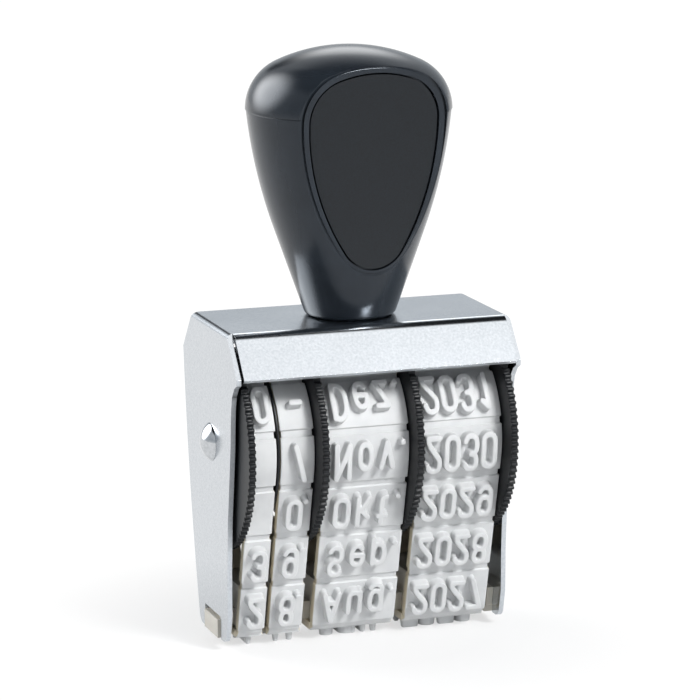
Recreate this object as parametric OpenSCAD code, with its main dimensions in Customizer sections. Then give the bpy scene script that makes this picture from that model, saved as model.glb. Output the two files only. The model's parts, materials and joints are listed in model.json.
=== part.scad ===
// Hand date stamp: four endless rubber type bands run over four setting wheels and a platen
// inside a folded steel frame, with a moulded grip screwed to the top.
// X runs along the axle, -Y is the side that faces the reader, Z is up and 0 is the desk.

/* [Frame] */
// Thickness of the steel sheet
sheet_t = 0.7; // [0.6:0.1:1]
// Inside radius of the folds above the side plates
bend_r = 0.2; // [0.1:0.1:0.6]
// Inside radius of the folds above the skirts
skirt_bend_r = 1.3; // [0.6:0.1:1.6]
// Gap between the setting wheels and the flat top above them
top_room = 1.05; // [0.7:0.05:3]
// Depth of the flat top, measured to the sharp corner of the fold
top_d = 19.1; // [18:0.1:21]
// Depth across the lower edges of the two skirts
skirt_d = 28.2; // [27:0.1:30]
// Height of a skirt
skirt_h = 5.7; // [4:0.1:6]
// Depth of a side plate at the level of the lower skirt edge
plate_d = 26.6; // [26:0.1:27]
// Depth of a side plate at its lower end
plate_foot_d = 12.8; // [12:0.1:14]
// How far the long edges of a side plate bow out from straight
plate_bow = 0.9; // [0.4:0.1:1.4]
// Height of the lower end of the side plates above the desk
plate_clear = 1.4; // [1:0.1:2]
// Corner radius at the lower end of a side plate
plate_corner_r = 1.6; // [1:0.1:2]
// Height of the platen notch in a side plate
notch_h = 3.3; // [3:0.1:4]
// Width of the platen notch in a side plate
notch_w = 7.8; // [5:0.1:8]

/* [Axle] */
// Diameter of the riveted axle
axle_d = 4; // [3.6:0.1:5]
// Height of the axle above the desk
axle_z = 29.5; // [29:0.1:30]
// Diameter of the domed rivet heads
rivet_head_d = 5.6; // [5.4:0.1:6.5]
// Height of the domed rivet heads
rivet_head_h = 1.5; // [0.8:0.1:1.8]
// Gap around the axle in a wheel or washer
bore_gap = 0.05; // [0.03:0.01:0.08]
// Gap around the axle in the frame
rivet_gap = 0.02; // [0.01:0.01:0.05]
// Diameter of the plain washers on the axle
washer_d = 8; // [7:0.1:10]
// Thickness of the washers and of the separator disc
washer_t = 0.3; // [0.3:0.05:0.5]
// Gap on each side of a washer
end_play = 0.05; // [0.03:0.01:0.08]

/* [Setting wheels] */
// Radius over the knurl of a setting wheel
rim_r = 15.5; // [14.8:0.1:15.7]
// Thickness of the knurled rim
rim_t = 1; // [0.8:0.05:1.4]
// Number of teeth in the knurl
knurl_count = 96; // [80:1:180]
// Depth of the knurl
knurl_depth = 0.4; // [0.2:0.05:0.5]
// Width of a tooth tip as a share of the tooth pitch
knurl_tip = 0.3; // [0.2:0.05:0.4]
// Width of the tens drum
tens_w = 4.2; // [3.6:0.1:5]
// Width of the units drum
units_w = 5.2; // [4.5:0.1:6]
// Width of the month drum
month_w = 12.7; // [11.6:0.1:14]
// Width of the year drum
year_w = 12.7; // [11.6:0.1:14]
// Wall of the moulded drum and of its hub
drum_wall = 1.8; // [1.4:0.1:2.4]
// Thickness of the web between hub and drum
web_t = 1.6; // [1.2:0.1:2]

/* [Type bands] */
// Radius of the plain band surface where it runs over the drum
band_r = 11.9; // [11.4:0.1:12.2]
// Thickness of the band without the type
band_t = 1.2; // [1:0.1:1.5]
// Height of the raised type
type_h = 1.3; // [1:0.1:1.6]
// Height of a character on paper
char_h = 5; // [4:0.1:5.2]
// Width of a digit
char_w = 2.4; // [1.8:0.1:2.5]
// Distance from one character to the next
char_step = 2.8; // [2.6:0.05:2.95]
// Number of type places on a band
band_places = 13; // [12:1:13]
// Gap between a band and the drum under it
drum_gap = 0.15; // [0.1:0.01:0.25]
// Gap between the side of a band and its neighbours
band_side_gap = 0.1; // [0.08:0.01:0.2]
// Width of the groove between two type places
groove_w = 0.9; // [0.6:0.1:1.2]
// Depth of the groove between two type places
groove_depth = 0.25; // [0.15:0.05:0.4]
// Depth of the small notch where a groove meets the side of the band
edge_notch = 0.2; // [0.15:0.05:0.5]
// How far the tens band has crept up the front from its resting place
tens_creep = 0.6; // [0:0.1:0.6]
// How far the units band has crept up the front from its resting place
units_creep = 0.6; // [0:0.1:0.6]

/* [Platen] */
// Outer radius of a band where it turns under the platen
band_corner_r = 1.4; // [1.3:0.05:1.8]
// Half depth of the flat under the platen
platen_flat = 3.6; // [3.2:0.1:4.2]
// Height of the platen block
platen_h = 6.5; // [5:0.1:8]
// Gap between the platen and the band around it
platen_gap = 0.05; // [0.03:0.01:0.1]
// How far a pad of the platen ends inside the drum above it
pad_clear = 0.6; // [0.2:0.1:0.9]
// How far the bar between the pads lies behind them
bar_sink = 1.8; // [0.5:0.1:2.2]
// Thickness of the cheeks at the ends of the platen
cheek_t = 1; // [0.7:0.1:1.2]
// How far a cheek lies behind the plain surface of the bands
cheek_sink = 1.1; // [0.1:0.1:1.2]
// Height of the top of the cheeks and of the bar above the desk
cheek_h = 5.4; // [5.2:0.1:8]
// How far the platen lugs stand out of the side plates
lug_proud = 0.3; // [0:0.1:0.6]
// Gap around a lug in its notch
lug_gap = 0.6; // [0.15:0.05:0.8]

/* [Handle] */
// Radius of the grip at its seam
grip_r = 14.6; // [13.5:0.1:15.5]
// Turn of the grip on its screw, to the right of the reader
grip_turn = 4.3; // [0:0.1:8]
// Height of the seam above the frame
seam_h = 29.6; // [27:0.1:33]
// Height of the cap above the seam
cap_h = 9; // [8.5:0.1:10.5]
// Radius of the shoulder of the cap
shoulder_r = 7.4; // [6.5:0.1:7.9]
// Slope of the grip from upright, just under the seam
grip_lean = 5.7; // [4:0.1:7]
// Slope of the grip from upright, above the neck
neck_lean = 19.3; // [18:0.1:21]
// Radius of the curve between those two slopes
grip_curve_r = 73.5; // [68:0.5:78]
// Radius of the rounding under the neck
neck_round = 1; // [0.4:0.1:1.2]
// Distance from the axis to the deepest point of the two hollow faces
face_y = 8.8; // [8.5:0.1:9.4]
// Height of that point above the frame
face_z = 16.6; // [14:0.1:19]
// Radius of the hollow faces
face_r = 145; // [130:1:180]
// Wall thickness of the grip and its cap
grip_wall = 2.2; // [1.8:0.1:2.6]
// Depth of the lip of the cap inside the grip
lip_h = 2.5; // [1.5:0.1:4]
// Depth of the rebate that the lip drops into
lip_rebate = 0.6; // [0.4:0.1:0.8]
// Gap around the lip
lip_gap = 0.1; // [0.05:0.01:0.2]
// How far the edge of the cap stands out over the grip
seam_step = 0.12; // [0.05:0.01:0.2]

/* [Front panel] */
// Width of the panel where it is widest
panel_w = 19.3; // [18.5:0.1:19.6]
// Height of that widest part above the frame
panel_wide_z = 28.75; // [28:0.05:29]
// Radius of the crown of the panel
panel_crown_r = 17.5; // [16:0.5:22]
// Radius of the upper corners of the panel
panel_corner_r = 6.2; // [5:0.1:7]
// Radius of the long sides of the panel
panel_side_r = 34.5; // [32:0.5:40]
// Radius of the lower end of the panel
panel_low_r = 5; // [4.5:0.1:5.2]
// Height of the centre of the lower end above the frame
panel_low_z = 12.9; // [12.7:0.1:14]
// Thickness of the panel
panel_t = 0.8; // [0.6:0.1:1]
// How far the panel lies under the face around it
panel_sink = 0.15; // [0.05:0.05:0.3]
// Gap around the panel
panel_gap = 0.15; // [0.1:0.05:0.25]
// Thickness of the glue under the panel
panel_glue = 0.05; // [0.03:0.01:0.1]

/* [Handle screw] */
// Diameter of the screw
screw_d = 4; // [3.5:0.1:5]
// Length of the screw under its head
screw_len = 10; // [7:0.5:12]
// Room past the end of the screw in the grip
pilot_spare = 1; // [0.5:0.1:2]
// Thickness of the grip above the end of the screw
boss_roof = 1.5; // [1:0.1:3]
// Diameter of the screw head
screw_head_d = 7; // [6.5:0.1:8]
// Height of the screw head
screw_head_h = 1.6; // [1.2:0.1:1.7]
// Width of the driver slot
slot_w = 1; // [0.8:0.1:1.2]
// Depth of the driver slot
slot_depth = 0.7; // [0.5:0.1:0.9]
// Gap around the screw
screw_gap = 0.05; // [0.03:0.01:0.1]
// Diameter of the washer under the head
lock_washer_d = 7.6; // [7.2:0.1:9]
// Thickness of the washer under the head
lock_washer_t = 0.5; // [0.3:0.1:0.6]

/* [Hidden] */
$fn = 96;
cut = 1;

// Height of the flat top above the desk
frame_h = axle_z + rim_r + top_room + sheet_t;

// Places along the axle, from the left side plate to the right one
washer_room = washer_t + 2 * end_play;
inner_w = 5 * washer_room + 4 * rim_t + tens_w + units_w + month_w + year_w;
frame_w = inner_w + 2 * sheet_t;
tens_rim_x = -inner_w / 2 + washer_room;
tens_x = tens_rim_x + rim_t;
units_x = tens_x + tens_w + washer_room;
month_x = units_x + units_w + rim_t + washer_room;
year_x = month_x + month_w + rim_t + washer_room;
washer_x = [
    -inner_w / 2 + end_play,
    units_x - washer_room + end_play,
    month_x - washer_room + end_play,
    year_x - washer_room + end_play,
    inner_w / 2 - washer_room + end_play
];
drum_r = band_r - band_t - drum_gap;
wheel_bore_d = axle_d + 2 * bore_gap;

// The closed path of a band, in the plane across the axle: round the drum, down to the platen
corner_c = [platen_flat, type_h + band_corner_r];
corner_v = corner_c - [0, axle_z];
corner_far = norm(corner_v);
run_normal = atan2(corner_v[1], corner_v[0]) + acos((band_r - band_corner_r) / corner_far);
run_len = sqrt(pow(corner_far, 2) - pow(band_r - band_corner_r, 2));
mid_r = band_r - band_t / 2;
mid_corner_r = band_corner_r - band_t / 2;
corner_len = mid_corner_r * (run_normal + 90) * PI / 180;
half_loop = platen_flat + corner_len + run_len + mid_r * (90 - run_normal) * PI / 180;
place_pitch = 2 * half_loop / band_places;

// A point of the band surface and the direction that it faces, at a distance along the path
function around(center, radius, angle) = center + radius * [cos(angle), sin(angle)];
function front_place(s) =
    let (s1 = s - platen_flat, s2 = s1 - corner_len, s3 = s2 - run_len)
    s1 < 0 ? [[s, type_h], -90] :
    s2 < 0 ? let (a = -90 + s1 / mid_corner_r * 180 / PI) [around(corner_c, band_corner_r, a), a] :
    s3 < 0 ? [around(corner_c, band_corner_r, run_normal) + s2 * [-sin(run_normal), cos(run_normal)], run_normal] :
    let (a = run_normal + s3 / mid_r * 180 / PI) [around([0, axle_z], band_r, a), a];
function band_place(s) =
    s <= half_loop ? front_place(s) :
    let (p = front_place(2 * half_loop - s)) [[-p[0][0], p[0][1]], 180 - p[1]];

// Turns a drawing of the plane across the axle into a solid of width w that starts at x;
// the first axis of the drawing points to the front and the second one up
module across(x, w) {
    translate([x, 0, 0])
        rotate([0, 0, -90])
            rotate([90, 0, 0])
                mirror([0, 0, 1])
                    linear_extrude(w)
                        children();
}

// Turns a drawing of the plane along the axle into a solid from y0 to y1
module along(y0, y1) {
    translate([0, y1, 0])
        rotate([90, 0, 0])
            linear_extrude(y1 - y0)
                children();
}

// A rod of diameter d along the axle, from x to x + w
module rod(x, w, d) {
    translate([x, 0, axle_z])
        rotate([0, 90, 0])
            cylinder(d = d, h = w);
}

module mirrored() {
    children();
    mirror([1, 0])
        children();
}

// Frame: one sheet folded down on four sides
skirt_turn = atan2(skirt_d / 2 - top_d / 2, skirt_h);
fold_r = bend_r + sheet_t;
skirt_fold_r = skirt_bend_r + sheet_t;
plate_top_z = frame_h - skirt_h;
skirt_fold_c = [top_d / 2 - skirt_fold_r * tan((90 - skirt_turn) / 2), frame_h - skirt_fold_r];
skirt_run = (skirt_fold_c[1] + skirt_fold_r * sin(skirt_turn) - plate_top_z) / cos(skirt_turn);
plate_edge_v = [plate_foot_d / 2, plate_clear] - [plate_d / 2, plate_top_z];
plate_edge_len = norm(plate_edge_v);
plate_edge_r = pow(plate_edge_len, 2) / (8 * plate_bow) + plate_bow / 2;
plate_edge_mid = ([plate_foot_d / 2, plate_clear] + [plate_d / 2, plate_top_z]) / 2;
plate_edge_n = [-plate_edge_v[1], plate_edge_v[0]] / plate_edge_len;
plate_edge_c = plate_edge_mid - (plate_edge_r - plate_bow) * plate_edge_n;

module folded_top(w, r) {
    translate([-w / 2, plate_clear - cut])
        square([w, frame_h - (frame_w - w) / 2 - r - plate_clear + cut]);
    translate([-w / 2 + r, plate_clear - cut])
        square([w - 2 * r, frame_h - (frame_w - w) / 2 - plate_clear + cut]);
    mirrored()
        translate([w / 2 - r, frame_h - (frame_w - w) / 2 - r])
            circle(r);
}

module plate_edge() {
    intersection() {
        translate(plate_edge_c)
            circle(plate_edge_r, $fn = 360);
        translate([-plate_d, plate_clear])
            square([2 * plate_d, plate_top_z - plate_clear]);
    }
}

module plate_outline() {
    polygon([
        [-skirt_fold_c[0], frame_h],
        [skirt_fold_c[0], frame_h],
        [plate_d / 2, plate_top_z],
        [-plate_d / 2, plate_top_z]
    ]);
    difference() {
        intersection() {
            plate_edge();
            mirror([1, 0])
                plate_edge();
        }
        mirrored()
            plate_corner_waste();
    }
}

// What the rounded lower corner of a side plate leaves off
module plate_corner_waste() {
    corner_z = plate_clear + plate_corner_r;
    reach = plate_edge_r - plate_corner_r;
    corner = [plate_edge_c[0] + sqrt(pow(reach, 2) - pow(corner_z - plate_edge_c[1], 2)), corner_z];
    side = (corner - plate_edge_c) / reach;
    difference() {
        polygon([
            corner,
            corner - [0, plate_corner_r + cut],
            corner + [plate_corner_r + cut, -plate_corner_r - cut],
            corner + (plate_corner_r + cut) * side
        ]);
        translate(corner)
            circle(plate_corner_r);
    }
}

module skirt_section() {
    translate(skirt_fold_c) {
        intersection() {
            difference() {
                circle(skirt_fold_r);
                circle(skirt_bend_r);
            }
            polygon([[0, 0], [0, 2 * skirt_fold_r], [2 * skirt_fold_r, 2 * skirt_fold_r],
                around([0, 0], 2 * skirt_fold_r, skirt_turn)]);
        }
        rotate(skirt_turn)
            translate([skirt_bend_r, -skirt_run])
                square([sheet_t, skirt_run]);
    }
}

module frame() {
    skirt_w = frame_w - 2 * fold_r;
    color("#c9ced2")
        difference() {
            union() {
                intersection() {
                    along(-skirt_d, skirt_d)
                        difference() {
                            folded_top(frame_w, fold_r);
                            folded_top(inner_w, bend_r);
                        }
                    across(-frame_w / 2, frame_w)
                        plate_outline();
                }
                across(-skirt_w / 2, skirt_w)
                    mirrored()
                        skirt_section();
            }
            rod(-frame_w, 2 * frame_w, axle_d + 2 * rivet_gap);
            translate([0, 0, frame_h - sheet_t - cut])
                cylinder(d = screw_d + 2 * screw_gap, h = sheet_t + 2 * cut);
            across(-frame_w, 2 * frame_w)
                translate([-notch_w / 2, plate_clear - cut])
                    square([notch_w, notch_h + cut]);
        }
}

// Axle and the washers on it
module rivet_head() {
    dome_r = pow(rivet_head_d / 2, 2) / (2 * rivet_head_h) + rivet_head_h / 2;
    rotate([0, 90, 0])
        intersection() {
            translate([0, 0, rivet_head_h - dome_r])
                sphere(dome_r);
            cylinder(d = rivet_head_d, h = rivet_head_h + cut);
        }
}

module axle() {
    color("#d5d8da") {
        rod(-frame_w / 2, frame_w, axle_d);
        translate([frame_w / 2, 0, axle_z])
            rivet_head();
        translate([-frame_w / 2, 0, axle_z])
            mirror([1, 0, 0])
                rivet_head();
    }
}

module washer(x, d) {
    difference() {
        rod(x, washer_t, d);
        rod(x - cut, washer_t + 2 * cut, wheel_bore_d);
    }
}

module left_thrust_washer() {
    color("#b9bdc0")
        washer(washer_x[0], washer_d);
}

module separator_disc() {
    color("#8d9194")
        washer(washer_x[1], 2 * band_r);
}

module units_month_washer() {
    color("#b9bdc0")
        washer(washer_x[2], washer_d);
}

module month_year_washer() {
    color("#b9bdc0")
        washer(washer_x[3], washer_d);
}

module right_thrust_washer() {
    color("#b9bdc0")
        washer(washer_x[4], washer_d);
}

// Setting wheels: a cored drum under the band and one knurled rim beside it
module knurl_outline() {
    step = 360 / knurl_count;
    rise = step * (1 - 2 * knurl_tip) / 2;
    polygon([
        for (i = [0 : knurl_count - 1], k = [0 : 3])
            let (a = i * step + [0, rise, rise + step * knurl_tip, 2 * rise + step * knurl_tip][k])
            let (r = rim_r - (k == 1 || k == 2 ? 0 : knurl_depth))
            r * [cos(a), sin(a)]
    ]);
}

module wheel(rim_x, drum_x, drum_w, core_x) {
    hub_d = wheel_bore_d + 2 * drum_wall;
    difference() {
        union() {
            translate([rim_x, 0, axle_z])
                rotate([0, 90, 0])
                    linear_extrude(rim_t)
                        knurl_outline();
            rod(drum_x, drum_w, 2 * drum_r);
        }
        difference() {
            rod(core_x, drum_w - web_t, 2 * (drum_r - drum_wall));
            rod(core_x - cut, drum_w + 2 * cut, hub_d);
        }
        rod(rim_x - frame_w, 2 * frame_w, wheel_bore_d);
    }
}

module tens_wheel() {
    color("#1c1e20")
        wheel(tens_rim_x, tens_x, tens_w, tens_x + web_t);
}

module units_wheel() {
    color("#1c1e20")
        wheel(units_x + units_w, units_x, units_w, units_x);
}

module month_wheel() {
    color("#1c1e20")
        wheel(month_x + month_w, month_x, month_w, month_x);
}

module year_wheel() {
    color("#1c1e20")
        wheel(year_x + year_w, year_x, year_w, year_x);
}

// Type bands
module loop_outline(inset) {
    drum = band_r - inset;
    corner = band_corner_r - inset;
    translate([0, axle_z])
        circle(drum);
    mirrored()
        translate(corner_c)
            circle(corner);
    polygon([
        around([0, axle_z], drum, run_normal),
        around(corner_c, corner, run_normal),
        corner_c - [0, corner],
        [-corner_c[0], corner_c[1] - corner],
        around([-corner_c[0], corner_c[1]], corner, 180 - run_normal),
        around([0, axle_z], drum, 180 - run_normal)
    ]);
}

module at_place(x, place) {
    translate([x, -place[0][0], place[0][1]])
        rotate([90 - place[1], 0, 0])
            children();
}

module groove(w) {
    translate([-w / 2 - cut, -groove_w / 2, -groove_depth])
        cube([w + 2 * cut, groove_w, groove_depth + cut]);
    mirrored()
        translate([w / 2 - edge_notch, -groove_w / 2, -2 * groove_depth])
            cube([edge_notch + cut, groove_w, 2 * groove_depth + cut]);
}

module type_row(chars) {
    for (i = [0 : chars - 1])
        translate([(i - (chars - 1) / 2) * char_step - char_w / 2, -char_h / 2, -band_t / 2])
            cube([char_w, char_h, type_h + band_t / 2]);
}

module band(drum_x, drum_w, chars, creep) {
    w = drum_w - 2 * band_side_gap;
    mid_x = drum_x + drum_w / 2;
    difference() {
        across(mid_x - w / 2, w)
            difference() {
                loop_outline(0);
                loop_outline(band_t);
            }
        for (i = [0 : band_places - 1])
            at_place(mid_x, band_place((i + 0.5) * place_pitch + creep))
                groove(w);
    }
    for (i = [0 : band_places - 1])
        at_place(mid_x, band_place(i * place_pitch + creep))
            type_row(chars);
}

module tens_band() {
    color("#d9dad8")
        band(tens_x, tens_w, 1, tens_creep);
}

module units_band() {
    color("#d9dad8")
        band(units_x, units_w, 1, units_creep);
}

module month_band() {
    color("#d9dad8")
        band(month_x, month_w, 4, 0);
}

module year_band() {
    color("#d9dad8")
        band(year_x, year_w, 4, 0);
}

// Platen: a bar with a pad for each band to turn under, a cheek at each end and a lug on each cheek
// that hooks into the notch of the side plate
module platen_layer(inset, top) {
    intersection() {
        loop_outline(inset);
        translate([-skirt_d, 0])
            square([2 * skirt_d, top]);
    }
}

module platen() {
    pad_inset = band_t + platen_gap;
    top = type_h + pad_inset + platen_h;
    lug_w = notch_w - 2 * lug_gap;
    drums = [[tens_x, tens_w], [units_x, units_w], [month_x, month_w], [year_x, year_w]];
    color("#d8cfb8") {
        across(-inner_w / 2, inner_w)
            intersection_for (side = [-1, 1])
                translate([side * bar_sink, 0])
                    platen_layer(pad_inset, cheek_h);
        for (drum = drums)
            across(drum[0] + pad_clear, drum[1] - 2 * pad_clear)
                platen_layer(pad_inset, top);
        for (x = [-inner_w / 2, inner_w / 2 - cheek_t])
            across(x, cheek_t)
                platen_layer(cheek_sink, cheek_h);
        for (x = [-frame_w / 2 - lug_proud, inner_w / 2 - cheek_t])
            across(x, cheek_t + sheet_t + lug_proud)
                translate([-lug_w / 2, plate_clear])
                    square([lug_w, notch_h - lug_gap]);
    }
}

// Handle: a moulded grip, flattened in front and behind, with a cap on top
cap_r = grip_r + seam_step;
cap_crown_r = (pow(cap_r - shoulder_r, 2) + pow(cap_h, 2) - pow(shoulder_r, 2)) / (2 * (cap_h - shoulder_r));
seam_z = frame_h + seam_h;
neck_lap = 0.02;
grip_curve_c = [grip_r - grip_curve_r * cos(grip_lean), seam_h + grip_curve_r * sin(grip_lean)];

// The grip without its flattened faces: a barrel on a cone, set in from the surface
module grip_form(inset) {
    r = grip_curve_r - inset;
    low = around(grip_curve_c, r - neck_lap, -neck_lean);
    translate([0, 0, frame_h]) {
        rotate_extrude()
            intersection() {
                translate(grip_curve_c)
                    circle(r, $fn = 360);
                square([2 * grip_r, seam_h]);
            }
        cylinder(r1 = low[0] - low[1] * tan(neck_lean), r2 = low[0], h = low[1]);
    }
}

// What the rounding under the neck leaves off
module neck_waste() {
    low = around(grip_curve_c, grip_curve_r - neck_lap, -neck_lean);
    neck_r = low[0] - low[1] * tan(neck_lean);
    round_c = [neck_r - neck_round * tan(45 - neck_lean / 2), neck_round];
    translate([0, 0, frame_h])
        rotate_extrude()
            difference() {
                polygon([
                    round_c,
                    around(round_c, neck_round + cut, -neck_lean),
                    [neck_r + cut, -cut],
                    [round_c[0], -cut]
                ]);
                translate(round_c)
                    circle(neck_round);
            }
}

module cap_section(inset) {
    crown_c = [0, cap_h - cap_crown_r];
    side_c = [cap_r - shoulder_r, 0];
    reach = (cap_crown_r + cap_h) * (side_c - crown_c) / norm(side_c - crown_c);
    intersection() {
        union() {
            intersection() {
                translate(crown_c)
                    circle(cap_crown_r - inset, $fn = 360);
                polygon([crown_c, crown_c + [0, 2 * cap_crown_r], crown_c + reach]);
            }
            translate(side_c)
                circle(shoulder_r - inset);
            square([side_c[0], cap_h / 2]);
        }
        square([2 * grip_r, cap_h]);
    }
}

// What the two hollow faces leave off, set in from the surface
module face_waste(inset) {
    for (side = [-1, 1])
        translate([-2 * grip_r, side * (face_y + face_r), frame_h + face_z])
            rotate([0, 90, 0])
                cylinder(r = face_r + inset, h = 4 * grip_r, $fn = 360);
}

// The egg shape of the panel: a crown, two upper corners, two long sides and a lower end,
// all arcs that run into each other
module panel_outline(grow) {
    crown_r = panel_crown_r + grow;
    side_r = panel_side_r + grow;
    upper_c = [panel_w / 2 - panel_corner_r, frame_h + panel_wide_z];
    crown_far = panel_crown_r - panel_corner_r;
    crown_c = [0, upper_c[1] - sqrt(pow(crown_far, 2) - pow(upper_c[0], 2))];
    crown_v = (upper_c - crown_c) / crown_far;
    low_c = [0, frame_h + panel_low_z];
    span = low_c - upper_c;
    upper_far = panel_side_r - panel_corner_r;
    low_far = panel_side_r - panel_low_r;
    foot = (pow(upper_far, 2) - pow(low_far, 2) + pow(norm(span), 2)) / (2 * norm(span));
    off = sqrt(pow(upper_far, 2) - pow(foot, 2));
    side_c = upper_c + (foot * span + off * [span[1], -span[0]]) / norm(span);
    up = (upper_c - side_c) / upper_far;
    down = (low_c - side_c) / low_far;
    polygon([upper_c, [-upper_c[0], upper_c[1]], low_c]);
    translate(low_c)
        circle(panel_low_r + grow);
    mirrored() {
        translate(upper_c)
            circle(panel_corner_r + grow);
        intersection() {
            translate(crown_c)
                circle(crown_r);
            polygon([crown_c, crown_c + [0, 2 * crown_r], crown_c + 2 * crown_r * crown_v]);
        }
        intersection() {
            translate(side_c)
                circle(side_r, $fn = 360);
            polygon([upper_c, side_c + side_r * up, side_c + side_r * (up + down), side_c + side_r * down, low_c]);
        }
    }
}

module panel_recess() {
    intersection() {
        along(-2 * grip_r, 0)
            panel_outline(panel_gap);
        face_waste(panel_sink + panel_t + panel_glue);
    }
}

module handle_body() {
    pilot = screw_len - sheet_t - lock_washer_t + pilot_spare;
    boss_h = pilot + boss_roof;
    color("#17191b")
        rotate(grip_turn)
            difference() {
                grip_form(0);
                face_waste(0);
                neck_waste();
                difference() {
                    intersection() {
                        grip_form(grip_wall);
                        translate([0, 0, frame_h + boss_h])
                            cylinder(r = grip_r, h = seam_h);
                    }
                    face_waste(grip_wall);
                }
                translate([0, 0, seam_z - lip_h - lip_gap])
                    linear_extrude(lip_h + lip_gap + cut)
                        lip_plan(0);
                translate([0, 0, frame_h - cut])
                    cylinder(d = screw_d + 2 * screw_gap, h = pilot + cut);
                panel_recess();
            }
}

// The lip of the cap seen from above
module lip_plan(inset) {
    face_rise = face_r - sqrt(pow(face_r, 2) - pow(seam_h - lip_h - lip_gap - face_z, 2));
    r = grip_r - grip_wall + lip_rebate - inset;
    y = face_y + face_rise - grip_wall + lip_rebate - inset;
    intersection() {
        circle(r);
        square([2 * r, 2 * y], center = true);
    }
}

module handle_cap() {
    color("#141618")
        rotate(grip_turn)
            difference() {
                union() {
                    difference() {
                        translate([0, 0, seam_z])
                            rotate_extrude()
                                cap_section(0);
                        face_waste(0);
                        difference() {
                            translate([0, 0, seam_z])
                                rotate_extrude()
                                    cap_section(grip_wall);
                            face_waste(grip_wall);
                        }
                    }
                    translate([0, 0, seam_z - lip_h])
                        linear_extrude(lip_h + grip_wall)
                            difference() {
                                lip_plan(lip_gap);
                                lip_plan(lip_gap + grip_wall / 2);
                            }
                }
                panel_recess();
            }
}

module front_panel() {
    color("#2a2d30")
        rotate(grip_turn)
            intersection() {
                along(-2 * grip_r, 0)
                    panel_outline(0);
                difference() {
                    face_waste(panel_sink + panel_t);
                    face_waste(panel_sink);
                }
            }
}

module handle_screw() {
    seat = frame_h - sheet_t - lock_washer_t;
    color("#b4b8ba")
        difference() {
            union() {
                translate([0, 0, seat])
                    cylinder(d = screw_d, h = screw_len);
                translate([0, 0, seat - screw_head_h])
                    cylinder(d = screw_head_d, h = screw_head_h);
            }
            translate([-screw_head_d, -slot_w / 2, seat - screw_head_h - cut])
                cube([2 * screw_head_d, slot_w, slot_depth + cut]);
        }
}

module lock_washer() {
    color("#9fa4a7")
        translate([0, 0, frame_h - sheet_t - lock_washer_t])
            difference() {
                cylinder(d = lock_washer_d, h = lock_washer_t);
                translate([0, 0, -cut])
                    cylinder(d = screw_d + 2 * screw_gap, h = lock_washer_t + 2 * cut);
            }
}

frame();
axle();
left_thrust_washer();
tens_wheel();
separator_disc();
units_wheel();
units_month_washer();
month_wheel();
month_year_washer();
year_wheel();
right_thrust_washer();
tens_band();
units_band();
month_band();
year_band();
platen();
handle_body();
handle_cap();
front_panel();
handle_screw();
lock_washer();
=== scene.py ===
import json
import math

import bpy
from mathutils import Matrix, Vector

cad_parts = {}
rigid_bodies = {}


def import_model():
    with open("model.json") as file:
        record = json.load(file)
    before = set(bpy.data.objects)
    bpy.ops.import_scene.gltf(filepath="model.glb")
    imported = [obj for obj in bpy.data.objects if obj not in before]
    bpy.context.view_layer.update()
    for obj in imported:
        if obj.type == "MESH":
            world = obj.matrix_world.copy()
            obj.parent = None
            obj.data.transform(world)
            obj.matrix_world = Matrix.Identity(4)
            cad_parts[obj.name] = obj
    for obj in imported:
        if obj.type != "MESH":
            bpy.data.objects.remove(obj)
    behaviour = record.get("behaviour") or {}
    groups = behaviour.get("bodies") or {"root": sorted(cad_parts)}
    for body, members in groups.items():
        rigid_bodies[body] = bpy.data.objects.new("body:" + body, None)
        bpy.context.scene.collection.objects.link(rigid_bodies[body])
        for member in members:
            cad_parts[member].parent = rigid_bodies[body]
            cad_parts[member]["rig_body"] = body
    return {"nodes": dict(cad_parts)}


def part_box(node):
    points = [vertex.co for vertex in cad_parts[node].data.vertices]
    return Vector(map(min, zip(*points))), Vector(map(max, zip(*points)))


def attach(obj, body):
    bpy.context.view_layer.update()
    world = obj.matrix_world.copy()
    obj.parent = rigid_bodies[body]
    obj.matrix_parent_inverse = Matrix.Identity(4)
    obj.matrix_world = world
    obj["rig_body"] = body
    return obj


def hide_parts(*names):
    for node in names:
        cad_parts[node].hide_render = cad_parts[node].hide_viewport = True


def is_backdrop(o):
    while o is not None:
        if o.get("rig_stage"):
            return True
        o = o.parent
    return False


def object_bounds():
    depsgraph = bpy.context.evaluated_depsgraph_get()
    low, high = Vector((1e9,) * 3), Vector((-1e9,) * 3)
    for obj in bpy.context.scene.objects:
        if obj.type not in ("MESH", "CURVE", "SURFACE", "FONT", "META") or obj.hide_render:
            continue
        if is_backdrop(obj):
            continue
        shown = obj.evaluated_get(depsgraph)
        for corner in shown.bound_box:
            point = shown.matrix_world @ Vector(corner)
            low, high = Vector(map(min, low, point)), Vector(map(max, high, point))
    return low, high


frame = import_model()
cad_low, cad_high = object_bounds()
mm = 0.001

# Studio: the stamp stands on its type on white paper, in a light tent with grey walls and a dark roof.
# A long lens looks down on it from the front left, so the skirt and the left plate both show.
# A dark slot in the back of the tent gives the bright metal something dark to mirror.
view_turn = math.radians(-18.66)
view_tilt = math.radians(11.56)
view_roll = math.radians(0.35)
view_target = Vector((0, 0, 44.21)) * mm
view_distance = 502.5 * mm
view_drop = 2.807 * mm
across = Vector((math.cos(view_turn), math.sin(view_turn), 0))
toward = Vector((math.sin(view_turn), -math.cos(view_turn), 0)) * math.cos(view_tilt)
toward.z = math.sin(view_tilt)
upward = toward.cross(across)
right = across * math.cos(view_roll) - upward * math.sin(view_roll)
above = across * math.sin(view_roll) + upward * math.cos(view_roll)
eye = view_target - above * view_drop + toward * view_distance
lens = bpy.data.cameras.new("long_lens")
lens.sensor_fit = "HORIZONTAL"
lens.sensor_width = 36
lens.lens = 180.05
lens.clip_start = 0.01
lens.clip_end = 20
camera = bpy.data.objects.new("camera", lens)
bpy.context.scene.collection.objects.link(camera)
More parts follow.
